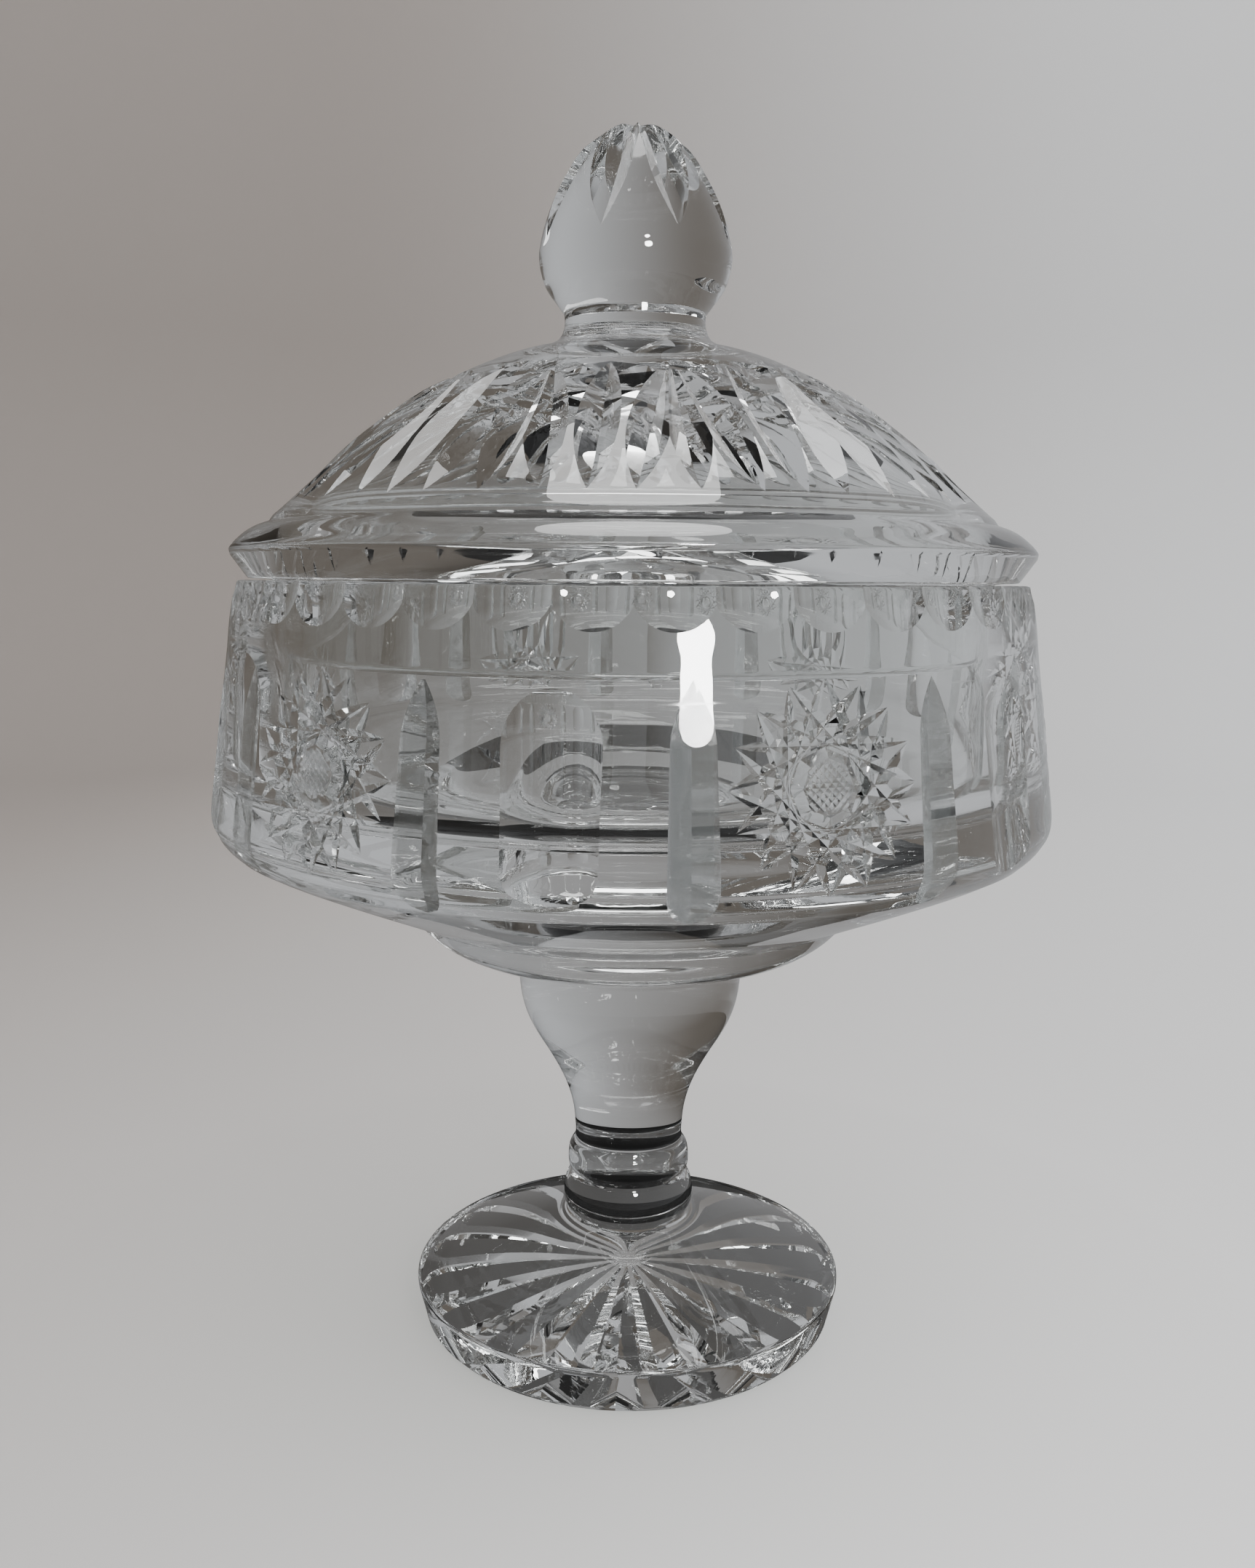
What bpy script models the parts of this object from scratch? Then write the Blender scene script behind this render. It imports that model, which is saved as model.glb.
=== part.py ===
"""Cut crystal powder jar: a drum-shaped bowl on a stem and a foot, with a domed lid and a bud finial.

Units are metres, +Z is up. The origin is the centre of the circle that the foot rests on.
Outlines are written in millimetres as (radius, height) and scaled by MM when they are turned.
"""
import math

import bmesh
import bpy
from mathutils import Matrix, Vector

MM = 0.001
SEAM = 0.15             # half of the clearance kept at each hot-joined seam, mm
SEAT_GAP = 0.3          # clearance between the lid's flange and the rim of the bowl, mm

# Heights, mm
FOOT_STEM_Z = 18.4      # seam between foot and stem
STEM_BOWL_Z = 65.6      # seam between stem and bowl
CORNER_Z = 87.0         # lower edge of the bowl's wall
FLOOR_Z = 93.6          # inside floor of the bowl
RIM_Z = 130.0           # top of the bowl
COLLAR_Z = 117.0        # lower edge of the lid's locating collar
DOME_Z = 139.2          # where the lid's dome leaves the flange
NECK_Z = 172.6          # seam between lid and finial
TOP_Z = 203.3           # top of the finial

# Radii, mm
FOOT_R = 37.9
STEM_RING_R = 11.5
STEM_TOP_R = 19.5
BOWL_R = 70.1
RIM_R = 65.3
BORE_R = 60.0           # inside of the bowl
COLLAR_R = 58.8
COLLAR_WALL = 3.6
FLANGE_R = 66.1
DOME_R = 60.2
NECK_R = 11.6
FINIAL_R = 15.9

# Cuts
RIM_SCALLOPS = 40
SCALLOP_DEPTH = 0.7     # mm
SCALLOP_Z = 124.0       # lower end of the scallops, mm
BAND_REPEATS = 6        # arches round the bowl, with a mitre on each side of the panel between two
ARCH_WIDTH = 12.7       # mm
ARCH_TOOL_R = 14.0      # mm
ARCH_TOP_Z = 117.0
ARCH_TAIL_Z = 79.0      # well below the corner, so that the arch runs out over it
WALL_AT_ARCH_HEAD_R = 68.1
WALL_AT_ARCH_TAIL_R = 71.8  # the wall's slope carried down to the tail
MITRE_EDGE_R = 66.95    # radius that the point of a vertical mitre groove runs at, mm
MITRE_HALF_ANGLE = math.radians(48)
LID_MITRES = 24
FOOT_PETALS = 18
PETAL_DEPTH = 2.4       # mm
PETAL_END_R = 35.6
PETAL_HALF_ANGLE = math.radians(60)
FINIAL_FLUTES = 8

# Turns of the cuts about +Z, measured from the arch that faces -Y
SCALLOP_TURN = math.radians(-0.4)
LID_TURN = math.radians(2.5)
FINIAL_TURN = math.radians(-11.5)
FOOT_TURN = math.radians(5.7)

BOWL_STEPS = 80
LID_STEPS = 48
FOOT_STEPS = 54
STEM_STEPS = 32
FINIAL_STEPS = 40


def clear_scene():
    """Remove whatever the file starts with."""
    for thing in list(bpy.data.objects):
        bpy.data.objects.remove(thing, do_unlink=True)


def glass(name, colour):
    """A clear glass finish for one sub-part."""
    material = bpy.data.materials.new(name)
    material.use_nodes = True
    shader = material.node_tree.nodes["Principled BSDF"]
    shader.inputs["Base Color"].default_value = (*colour, 1.0)
    shader.inputs["Roughness"].default_value = 0.02
    shader.inputs["Metallic"].default_value = 0.0
    shader.inputs["IOR"].default_value = 1.54
    shader.inputs["Transmission Weight"].default_value = 1.0
    return material


def arc(centre, radius, start, end, count):
    """Points of a circular arc in the outline plane, angles in degrees from +r towards +z."""
    points = []
    for i in range(count + 1):
        angle = math.radians(start + (end - start) * i / count)
        points.append((centre[0] + radius * math.cos(angle), centre[1] + radius * math.sin(angle)))
    return points


def through(points, per_span):
    """A smooth curve through a few outline points (Catmull-Rom), per_span steps between two points."""
    ends = [points[0], *points, points[-1]]
    curve = []
    for a, b, c, d in zip(ends, ends[1:], ends[2:], ends[3:]):
        for i in range(per_span):
            t = i / per_span
            curve.append(tuple(
                0.5 * (2 * b[k] + (c[k] - a[k]) * t + (2 * a[k] - 5 * b[k] + 4 * c[k] - d[k]) * t * t
                       + (3 * b[k] - a[k] - 3 * c[k] + d[k]) * t * t * t)
                for k in range(2)))
    return [*curve, points[-1]]


def add_object(name, bm, material=None):
    """Link a bmesh to the scene as a named object."""
    mesh = bpy.data.meshes.new(name)
    bm.to_mesh(mesh)
    bm.free()
    item = bpy.data.objects.new(name, mesh)
    bpy.context.collection.objects.link(item)
    if material is not None:
        mesh.materials.append(material)
        mesh.shade_smooth()
        mesh.set_sharp_from_angle(angle=math.radians(30))
    return item


def spin_outline(bm, outline, steps):
    """Spin an outline about +Z in bm, welding the points that lie on the axis."""
    verts = [bm.verts.new((0.0, -r * MM, z * MM)) for r, z in outline]
    edges = [bm.edges.new(pair) for pair in zip(verts, verts[1:])]
    if outline[0][0] > 0:
        edges.append(bm.edges.new((verts[-1], verts[0])))
    bmesh.ops.spin(bm, geom=verts + edges, cent=(0, 0, 0), axis=(0, 0, 1),
                   angle=2 * math.pi, steps=steps, use_merge=True)
    bmesh.ops.remove_doubles(bm, verts=bm.verts, dist=1e-6)


def turned(outline, steps):
    """One closed body turned from an outline."""
    bm = bmesh.new()
    spin_outline(bm, outline, steps)
    bmesh.ops.recalc_face_normals(bm, faces=bm.faces)
    return bm


def vee_bar(start, end, out, half_angle, height):
    """A three-sided bar whose sharp edge runs from start to end, and which opens towards out."""
    across = (end - start).cross(out).normalized() * math.tan(half_angle) * height
    bm = bmesh.new()
    corners = [bm.verts.new(point) for point in (start, start + out * height + across,
                                                 start + out * height - across)]
    section = bm.faces.new(corners)
    pulled = bmesh.ops.extrude_face_region(bm, geom=[section], use_keep_orig=True)["geom"]
    far = [item for item in pulled if isinstance(item, bmesh.types.BMVert)]
    bmesh.ops.translate(bm, verts=far, vec=end - start)
    bmesh.ops.recalc_face_normals(bm, faces=bm.faces)
    return bm


def ring_of(count, turn, tool):
    """One cutter mesh made of count copies of a tool, spaced evenly about +Z."""
    bm = bmesh.new()
    mesh = bpy.data.meshes.new("tool")
    tool.to_mesh(mesh)
    for i in range(count):
        before = len(bm.verts)
        bm.from_mesh(mesh)
        bm.verts.ensure_lookup_table()
        spin = Matrix.Rotation(turn + 2 * math.pi * i / count, 4, "Z")
        bmesh.ops.transform(bm, matrix=spin, verts=bm.verts[before:])
    bpy.data.meshes.remove(mesh)
    return bm


def carve(body, name, bm):
    """Cut a ring of tools out of a body with a Boolean modifier."""
    cutter = add_object(name, bm)
    cutter.hide_render = True
    cutter.display_type = "WIRE"
    cut = body.modifiers.new(name, "BOOLEAN")
    cut.operation = "DIFFERENCE"
    cut.solver = "EXACT"
    cut.object = cutter


def at(radius, height):
    """A point in front of the axis, on the -Y side, from an outline radius and height in mm."""
    return Vector((0.0, -radius * MM, height * MM))


def petal_tool():
    """The bar that cuts one hollow petal: it deepens outwards, and comes out short of the foot's edge."""
    stops = [(6.0, 0.0), (31.0, PETAL_DEPTH), (34.4, 0.7 * PETAL_DEPTH), (PETAL_END_R, -0.1)]
    height = (PETAL_DEPTH + 0.4) * MM
    bm = vee_bar(at(*stops[0]), at(*stops[1]), Vector((0, 0, -1)), PETAL_HALF_ANGLE, height)
    for before, after in zip(stops[1:], stops[2:]):
        end = min(bm.faces, key=lambda face: face.calc_center_median().y)
        pulled = bmesh.ops.extrude_face_region(bm, geom=[end])["geom"]
        bmesh.ops.delete(bm, geom=[end], context="FACES_ONLY")
        far = [item for item in pulled if isinstance(item, bmesh.types.BMVert)]
        bmesh.ops.translate(bm, verts=far, vec=at(*after) - at(*before))
    bmesh.ops.recalc_face_normals(bm, faces=bm.faces)
    return bm


def make_foot():
    """Thick round foot, its underside cut with a daisy of hollow petals."""
    edge = arc((FOOT_R - 2.0, 6.4), 2.0, 65, 0, 3)
    outline = [
        (0, FOOT_STEM_Z - SEAM), (11.0, FOOT_STEM_Z - SEAM), (12.4, 17.3), (15.0, 16.3), (30.0, 10.6), *edge,
        (FOOT_R - 0.2, 1.4), (FOOT_R - 1.2, 0), (0, 0),
    ]
    foot = add_object("foot", turned(outline, FOOT_STEPS), glass("foot_glass", (0.93, 0.95, 0.94)))
    petal = petal_tool()
    carve(foot, "petal_tools", ring_of(FOOT_PETALS, FOOT_TURN, petal))
    petal.free()
    return foot


def make_stem():
    """Solid stem: a double knop ring, a waist, and a bell that widens up to the bowl."""
    lower_ring = arc((STEM_RING_R - 4.0, 21.6), 4.0, -45, 60, 4)
    upper_ring = arc((8.0, 28.6), 2.7, -50, 62, 3)
    bell = through([(9.5, 32.6), (9.9, 37.4), (12.4, 44.6), (16.8, 52.0), (18.9, 57.0),
                    (STEM_TOP_R, 61.5)], 3)
    bottom, top = FOOT_STEM_Z + SEAM, STEM_BOWL_Z - SEAM
    rising = [(0, bottom), (10.2, bottom), *lower_ring, *upper_ring, *bell, (STEM_TOP_R, top), (0, top)]
    return add_object("stem", turned(rising[::-1], STEM_STEPS), glass("stem_glass", (0.94, 0.96, 0.95)))


def bowl_outline():
    """The bowl's section: rim, wall, rounded corner, underside, pad, and back up the inside."""
    wall = [(RIM_R, RIM_Z - 0.5), (66.2, 124.6), (66.9, 118.8), (68.9, 104.9), (BOWL_R, 94.0)]
    corner = [(69.5, 90.4), (68.4, 88.4), (66.6, CORNER_Z)]
    pad = [(38.6, 74.4), (35.6, 71.2), (32.0, 68.7), (26.0, 66.7), (STEM_TOP_R, STEM_BOWL_Z + SEAM)]
    floor = arc((BORE_R - 8.0, FLOOR_Z + 8.4), 8.0, -90, 0, 4)
    return [
        (RIM_R - 0.6, RIM_Z), *wall, *corner, (54.0, 81.0), *pad,
        (0, STEM_BOWL_Z + SEAM), (0, FLOOR_Z), *floor, (BORE_R, RIM_Z - 0.6), (BORE_R + 0.6, RIM_Z),
    ]


def bowl_body():
    """Turn the bowl, open on the axis at two points, and press the scallops into its rim edge."""
    outline = bowl_outline()
    first = outline.index((0, FLOOR_Z))
    rising = [*outline[first:], *outline[:first]]
    bm = turned(rising, BOWL_STEPS)
    outside = (BORE_R + RIM_R) / 2 * MM
    for vert in bm.verts:
        radius = vert.co.xy.length
        if vert.co.z > SCALLOP_Z * MM and radius > outside:
            phase = math.atan2(vert.co.x, -vert.co.y) * RIM_SCALLOPS
            dent = SCALLOP_DEPTH * MM * (0.5 - 0.5 * math.cos(phase))
            vert.co.xy *= (radius - dent) / radius
    bmesh.ops.rotate(bm, verts=bm.verts, matrix=Matrix.Rotation(SCALLOP_TURN, 3, "Z"))
    return bm


def arch_tool():
    """A round-nosed bar that leans with the wall, so that it cuts a hollow of even depth and width."""
    sink = ARCH_TOOL_R - math.sqrt(ARCH_TOOL_R ** 2 - (ARCH_WIDTH / 2) ** 2)
    head = Vector((WALL_AT_ARCH_HEAD_R + ARCH_TOOL_R - sink, ARCH_TOP_Z - ARCH_WIDTH / 2))
    tail = Vector((WALL_AT_ARCH_TAIL_R + ARCH_TOOL_R - sink, ARCH_TAIL_Z))
    nose = arc((0, 0), ARCH_TOOL_R, 90, 0, 7)
    nose[0] = (0, ARCH_TOOL_R)
    length = (tail - head).length
    bm = turned([*nose, (ARCH_TOOL_R, -length), (0, -length)], 40)
    lean = math.atan2(tail.x - head.x, head.y - tail.y)
    place = Matrix.Translation(at(head.x, head.y)) @ Matrix.Rotation(-lean, 4, "X")
    bmesh.ops.transform(bm, matrix=place, verts=bm.verts)
    return bm


def make_bowl():
    """Drum-shaped bowl with arches and tall mitre grooves cut into its wall."""
    bowl = add_object("bowl", bowl_body(), glass("bowl_glass", (0.92, 0.95, 0.94)))
    half_panel = math.radians(15)
    low, high = at(MITRE_EDGE_R, CORNER_Z - 12), at(MITRE_EDGE_R, RIM_Z - 5)
    mitre = vee_bar(low, high, Vector((0, -1, 0)), MITRE_HALF_ANGLE, 9 * MM)
    carve(bowl, "arch_tools", ring_of(BAND_REPEATS, 0.0, arch_tool()))
    carve(bowl, "mitre_tools_left", ring_of(BAND_REPEATS, -half_panel, mitre))
    carve(bowl, "mitre_tools_right", ring_of(BAND_REPEATS, half_panel, mitre))
    mitre.free()
    return bowl


def make_lid():
    """Domed lid in one piece with the flange that rests on the rim and the collar that centres it."""
    flange_z = RIM_Z + SEAT_GAP
    flange = [(62.6, flange_z), (64.8, 131.7), (FLANGE_R, 134.6), (65.5, 136.5), (63.4, 137.8)]
    dome = through([(DOME_R, DOME_Z), (50.5, 148.4), (39.5, 157.5), (28.9, 163.5), (20.0, 166.9)], 2)
    neck = [(12.9, 169.4), (NECK_R, 171.4), (NECK_R, NECK_Z - SEAM)]
    inside = COLLAR_R - COLLAR_WALL
    hollow = [(20.0, 159.0), (38.0, 151.0), (49.0, 142.0), (53.6, 136.0), (inside, 130.0)]
    collar = [(inside, COLLAR_Z + 0.6), (inside + 0.8, COLLAR_Z), (COLLAR_R - 0.8, COLLAR_Z),
              (COLLAR_R, COLLAR_Z + 0.8), (COLLAR_R, flange_z)]
    outline = [(0, 161.0), *hollow, *collar, *flange, *dome, *neck, (0, NECK_Z - SEAM)]
    lid = add_object("lid", turned(outline, LID_STEPS), glass("lid_glass", (0.93, 0.95, 0.94)))
    low, high = Vector((57.0, 141.9)), Vector((27.5, 163.6))
    steep = (high - low).normalized()
    mitre = vee_bar(at(*low), at(*high), Vector((0, -steep.y, -steep.x)), math.radians(50), 4 * MM)
    carve(lid, "lid_mitre_tools", ring_of(LID_MITRES, LID_TURN, mitre))
    mitre.free()
    return lid


def make_finial():
    """Solid bud-shaped knob, with V flutes that run out from its tip."""
    bud = through([(NECK_R, NECK_Z + SEAM), (12.0, 174.3), (14.6, 177.8), (FINIAL_R, 182.2), (15.1, 187.2),
                   (12.9, 193.2), (9.3, 199.0), (5.4, 202.6)], 2)
    outline = [(0, NECK_Z + SEAM), *bud, (3.0, TOP_Z), (0, TOP_Z)]
    finial = add_object("finial", turned(outline, FINIAL_STEPS), glass("finial_glass", (0.93, 0.95, 0.94)))
    low, high = Vector((14.9, 187.8)), Vector((2.4, 203.6))
    steep = (high - low).normalized()
    flute = vee_bar(at(*low), at(*high), Vector((0, -steep.y, -steep.x)), math.radians(52), 5 * MM)
    carve(finial, "flute_tools", ring_of(FINIAL_FLUTES, FINIAL_TURN, flute))
    flute.free()
    return finial


def main():
    """Build every sub-part, and hang the lid unit on an empty at its seat."""
    clear_scene()
    make_foot()
    make_stem()
    make_bowl()
    seat = bpy.data.objects.new("lid_seat", None)
    seat.location = (0, 0, RIM_Z * MM)
    bpy.context.collection.objects.link(seat)
    for piece in (make_lid(), make_finial()):
        piece.parent = seat
        piece.matrix_parent_inverse = Matrix.Translation((0, 0, -RIM_Z * MM))


main()
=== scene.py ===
"""Looks of the cut crystal powder jar: the glass of each piece, its wheel cuts, and the studio round it.

Every piece of glass is turned from an outline, cut with V wheels and hollow wheels, and polished.
Lengths in the classes are millimetres; a finished mesh is scaled to metres in the frame of the CAD model.
"""
import logging
import math
from dataclasses import dataclass, field
from enum import Enum
from functools import cached_property
from typing import Any, Callable, Iterable, Sequence

import bmesh
import bpy
import numpy as np
from mathutils import Matrix, Vector


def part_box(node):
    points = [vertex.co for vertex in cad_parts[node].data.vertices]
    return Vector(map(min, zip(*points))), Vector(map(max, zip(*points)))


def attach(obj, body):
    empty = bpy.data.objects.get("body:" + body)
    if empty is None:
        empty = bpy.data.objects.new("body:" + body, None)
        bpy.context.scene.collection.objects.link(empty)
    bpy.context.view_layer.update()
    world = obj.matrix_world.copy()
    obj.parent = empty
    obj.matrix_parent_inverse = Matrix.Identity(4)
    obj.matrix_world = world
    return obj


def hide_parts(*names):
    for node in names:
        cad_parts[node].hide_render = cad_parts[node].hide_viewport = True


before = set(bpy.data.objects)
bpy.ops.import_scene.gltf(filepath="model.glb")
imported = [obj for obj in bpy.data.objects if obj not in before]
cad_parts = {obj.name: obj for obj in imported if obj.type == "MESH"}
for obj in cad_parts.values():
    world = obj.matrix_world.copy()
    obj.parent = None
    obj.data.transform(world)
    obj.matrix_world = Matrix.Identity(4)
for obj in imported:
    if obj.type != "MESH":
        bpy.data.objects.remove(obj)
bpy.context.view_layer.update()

LOG = logging.getLogger("powder_jar")
MM = 0.001

HALF_SEAM = 0.15
"""Half of the gap that the CAD model keeps at a hot seam, mm."""
THINNEST = 0.02
"""Least height of a V tool's section, so that the tool stays closed, mm."""
SHARP_ANGLE = math.radians(20)
"""Angle between two faces past which their edge is crisp."""
SMOOTH_COSINE = math.cos(math.radians(30))
"""Cosine of the bend up to which two spans of an outline run on smoothly."""
ON_BLANK_COSINE = 0.9
"""Cosine down to which a face still counts as part of the turned surface."""

Point = tuple[float, float]
"""A point of an outline: radius and height, in mm."""
Spot = tuple[Vector, Vector]
"""A point of a surface in mm, and its unit normal."""
Pair = tuple[float, float]
Place = tuple[float, float, float]
Colour = tuple[float, float, float]


class Polish(Enum):
    """How a face of the glass was finished, in the order of the material slots."""

    FIRE = "fire_polished"
    WHEEL = "wheel_cut"
    GROUND = "ground"
    SEAM = "hot_seam"

    @property
    def slot(self) -> int:
        """Number of its material slot on every piece."""
        return list(Polish).index(self)


ToolSet = tuple[bpy.types.Mesh, Polish]
"""Tools that cut at one go, and the finish that they leave."""


# ---------------------------------------------------------------- outlines

def arc(centre: Point, radius: float, start: float, end: float, count: int) -> list[Point]:
    """Points of a circular arc in the outline plane.

    Args:
        centre: Middle of the circle.
        radius: Its radius, mm.
        start: First angle in degrees, from +radius towards +height.
        end: Last angle in degrees.
        count: Number of steps between them.

    Returns:
        The points, both ends included.
    """
    angles = [math.radians(start + (end - start) * i / count) for i in range(count + 1)]
    return [(centre[0] + radius * math.cos(a), centre[1] + radius * math.sin(a)) for a in angles]


def through(points: Sequence[Point], per_span: int) -> list[Point]:
    """A smooth curve through a few outline points (Catmull-Rom).

    Args:
        points: The points that the curve passes.
        per_span: Steps between two of them.

    Returns:
        The finer outline, both ends included.
    """
    ends = [points[0], *points, points[-1]]
    curve: list[Point] = []
    for a, b, c, d in zip(ends, ends[1:], ends[2:], ends[3:]):
        for i in range(per_span):
            t = i / per_span
            curve.append(tuple(
                0.5 * (2 * b[k] + (c[k] - a[k]) * t + (2 * a[k] - 5 * b[k] + 4 * c[k] - d[k]) * t * t
                       + (3 * b[k] - a[k] - 3 * c[k] + d[k]) * t ** 3)
                for k in range(2)))
    return [*curve, tuple(points[-1])]


def rounded(before: Point, corner: Point, after: Point, radius: float, count: int = 5) -> list[Point]:
    """Round off a corner of an outline.

    Args:
        before: The point before the corner.
        corner: The sharp corner.
        after: The point after it.
        radius: Radius of the rounding, mm.
        count: Steps along it.

    Returns:
        The points that take the corner's place.
    """
    c = Vector(corner)
    ways = [Vector(before) - c, Vector(after) - c]
    half = ways[0].angle(ways[1]) / 2
    reach = min(radius / math.tan(half), ways[0].length * 0.49, ways[1].length * 0.49)
    start, end = (c + way.normalized() * reach for way in ways)
    shares = [i / count for i in range(count + 1)]
    return [tuple(start * (1 - t) ** 2 + c * 2 * t * (1 - t) + end * t * t) for t in shares]


@dataclass(frozen=True)
class Face:
    """A stretch of an outline that a wheel works on, as a surface turned about +Z."""

    points: tuple[Point, ...]
    """The stretch, in order."""

    @property
    def spans(self) -> list[tuple[Point, Point]]:
        """The straight spans between the points."""
        return list(zip(self.points, self.points[1:]))

    def _look_up(self, value: float, column: int) -> tuple[Point, Vector]:
        """Where one coordinate of the stretch has a value.

        Args:
            value: The radius or the height looked for, mm.
            column: 0 if value is a radius, 1 if it is a height.

        Returns:
            The outline point there, and the unit direction of the outline.
        """
        inside = [(a, b) for a, b in self.spans
                  if min(a[column], b[column]) <= value <= max(a[column], b[column])]
        ends = (self.spans[0], self.spans[-1])
        a, b = inside[0] if inside else min(ends, key=lambda pair: min(abs(p[column] - value) for p in pair))
        run = b[column] - a[column]
        t = (value - a[column]) / run if abs(run) > 1e-9 else 0.0
        return (a[0] + (b[0] - a[0]) * t, a[1] + (b[1] - a[1]) * t), (Vector(b) - Vector(a)).normalized()

    def at_height(self, angle: float, height: float) -> Spot:
        """Surface point and outward normal at an angle from the -Y axis and a height.

        Args:
            angle: The angle, radians.
            height: The height, mm.

        Returns:
            The point and the normal.
        """
        (radius, _), along = self._look_up(height, 1)
        normal = Vector((abs(along.y), -along.x * math.copysign(1, along.y)))
        return self._place(angle, radius, height, normal)

    def at_radius(self, angle: float, radius: float) -> Spot:
        """Surface point and upward normal at an angle from the -Y axis and a radius.

        Args:
            angle: The angle, radians.
            radius: The radius, mm.

        Returns:
            The point and the normal.
        """
        (_, height), along = self._look_up(radius, 0)
        normal = Vector((-along.y * math.copysign(1, along.x), abs(along.x)))
        return self._place(angle, radius, height, normal)

    def along(self, angle: float, share: float) -> Spot:
        """Surface point and outward normal at an angle from the -Y axis and a share of the stretch.

        Args:
            angle: The angle, radians.
            share: Share of the stretch's length, from 0 to 1.

        Returns:
            The point and the normal.
        """
        lengths = [math.dist(a, b) for a, b in self.spans]
        left = share * sum(lengths)
        for (a, b), length in zip(self.spans, lengths):
            if left <= length:
                break
            left -= length
        place = Vector(a).lerp(Vector(b), min(left / length, 1.0))
        run = (Vector(b) - Vector(a)).normalized()
        return self._place(angle, place.x, place.y, Vector((-run.y, run.x)))

    @staticmethod
    def _place(angle: float, radius: float, height: float, normal: Vector) -> Spot:
        """Turn an outline point and its normal to an angle about +Z."""
        ray = Vector((math.sin(angle), -math.cos(angle), 0))
        return ray * radius + Vector((0, 0, height)), (ray * normal.x + Vector((0, 0, normal.y))).normalized()


# ---------------------------------------------------------------- turning and cutting

def turned(outline: Sequence[Point], steps: int, closed: bool = True,
           merge: float = 1e-4) -> bmesh.types.BMesh:
    """Turn an outline about +Z.

    Args:
        outline: Points in order.
        steps: Facets round the body.
        closed: Whether its ends are joined up, where they don't stand on the axis.
        merge: Distance within which points are one.

    Returns:
        The body, faces outwards.
    """
    bm = bmesh.new()
    verts = [bm.verts.new((0.0, -radius, height)) for radius, height in outline]
    edges = [bm.edges.new(pair) for pair in zip(verts, verts[1:])]
    if closed and outline[0][0] > 0:
        edges.append(bm.edges.new((verts[-1], verts[0])))
    bmesh.ops.spin(bm, geom=verts + edges, cent=(0, 0, 0), axis=(0, 0, 1),
                   angle=2 * math.pi, steps=steps, use_merge=True)
    bmesh.ops.remove_doubles(bm, verts=bm.verts, dist=merge)
    bmesh.ops.recalc_face_normals(bm, faces=bm.faces)
    return bm


@dataclass(frozen=True)
class Stop:
    """One stop of a V wheel on its way along a groove."""

    place: Vector
    normal: Vector
    depth: float


def swept(stops: Sequence[Stop], half_angle: float, proud: float) -> bmesh.types.BMesh:
    """The solid that a V wheel sweeps on its way along a groove.

    Args:
        stops: The wheel's stops on the surface, at least three.
        half_angle: Half of the V's angle, radians.
        proud: How far the solid stands out of the surface, mm.

    Returns:
        A three-sided bar, one section at each stop.
    """
    count = len(stops)
    bm = bmesh.new()
    bmesh.ops.create_cone(bm, cap_ends=True, segments=3, radius1=1, radius2=1, depth=count - 1)
    long_edges = [edge for edge in bm.edges if abs(edge.verts[0].co.z - edge.verts[1].co.z) > 0.5]
    bmesh.ops.subdivide_edges(bm, edges=long_edges, cuts=count - 2)
    for vert in bm.verts:
        index = round(vert.co.z + (count - 1) / 2)
        corner = round(math.atan2(vert.co.x, vert.co.y) / (2 * math.pi / 3)) % 3
        stop = stops[index]
        ahead = stops[min(index + 1, count - 1)].place - stops[max(index - 1, 0)].place
        across = ahead.cross(stop.normal).normalized()
        spread = math.tan(half_angle) * max(stop.depth + proud, THINNEST)
        side = (0.0, 1.0, -1.0)[corner]
        lift = proud if corner else -stop.depth
        vert.co = stop.place + stop.normal * lift + across * spread * side
    bmesh.ops.recalc_face_normals(bm, faces=bm.faces)
    return bm


@dataclass(frozen=True)
class Groove:
    """A V groove, which runs out pointed at both ends unless it is given another depth along its path."""

    depth: float
    """Greatest depth, mm."""
    half_angle: float
    """Half of the V's angle, degrees."""
    sinking: float = 0.3
    """Share of the path that the wheel takes to sink in."""
    leaving: float = 0.3
    """Share of the path that it takes to come out again."""
    stops: int = 20
    """Stops of the wheel on its path."""
    proud: float = 0.6
    """How far the tool stands out of the surface, mm."""
    run_out: float = 0.05
    """Height above the surface at which the wheel comes in and goes out, mm."""

    def lens(self, share: float) -> float:
        """Depth at a share of the path; just above the surface at both ends."""
        edge = min(1.0, share / self.sinking, (1 - share) / self.leaving)
        return (self.depth + self.run_out) * (1 - (1 - edge) ** 2) - self.run_out

    def tool(self, spot_at: Callable[[float], Spot],
             depth_at: Callable[[float], float] | None = None) -> bmesh.types.BMesh:
        """The solid that cuts the groove.

        Args:
            spot_at: Surface point and normal for a share of the path from 0 to 1.
            depth_at: Depth for a share of the path, if it isn't the pointed one.

        Returns:
            The solid, mm.
        """
        shares = [i / (self.stops - 1) for i in range(self.stops)]
        stops = [Stop(*spot_at(share), (depth_at or self.lens)(share)) for share in shares]
        return swept(stops, math.radians(self.half_angle), self.proud)


def round_end(share: float, shoulder: float) -> float:
    """Fade of a depth: 1 up to the shoulder's share of the path, then a quarter circle down to 0."""
    return math.sqrt(max(0.0, 1 - max(0.0, (share - shoulder) / (1 - shoulder)) ** 2))


def turn_point(point: Pair, angle: float) -> Pair:
    """Turn a point of a plane about the middle, by an angle in radians."""
    return (point[0] * math.cos(angle) - point[1] * math.sin(angle),
            point[0] * math.sin(angle) + point[1] * math.cos(angle))


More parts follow.
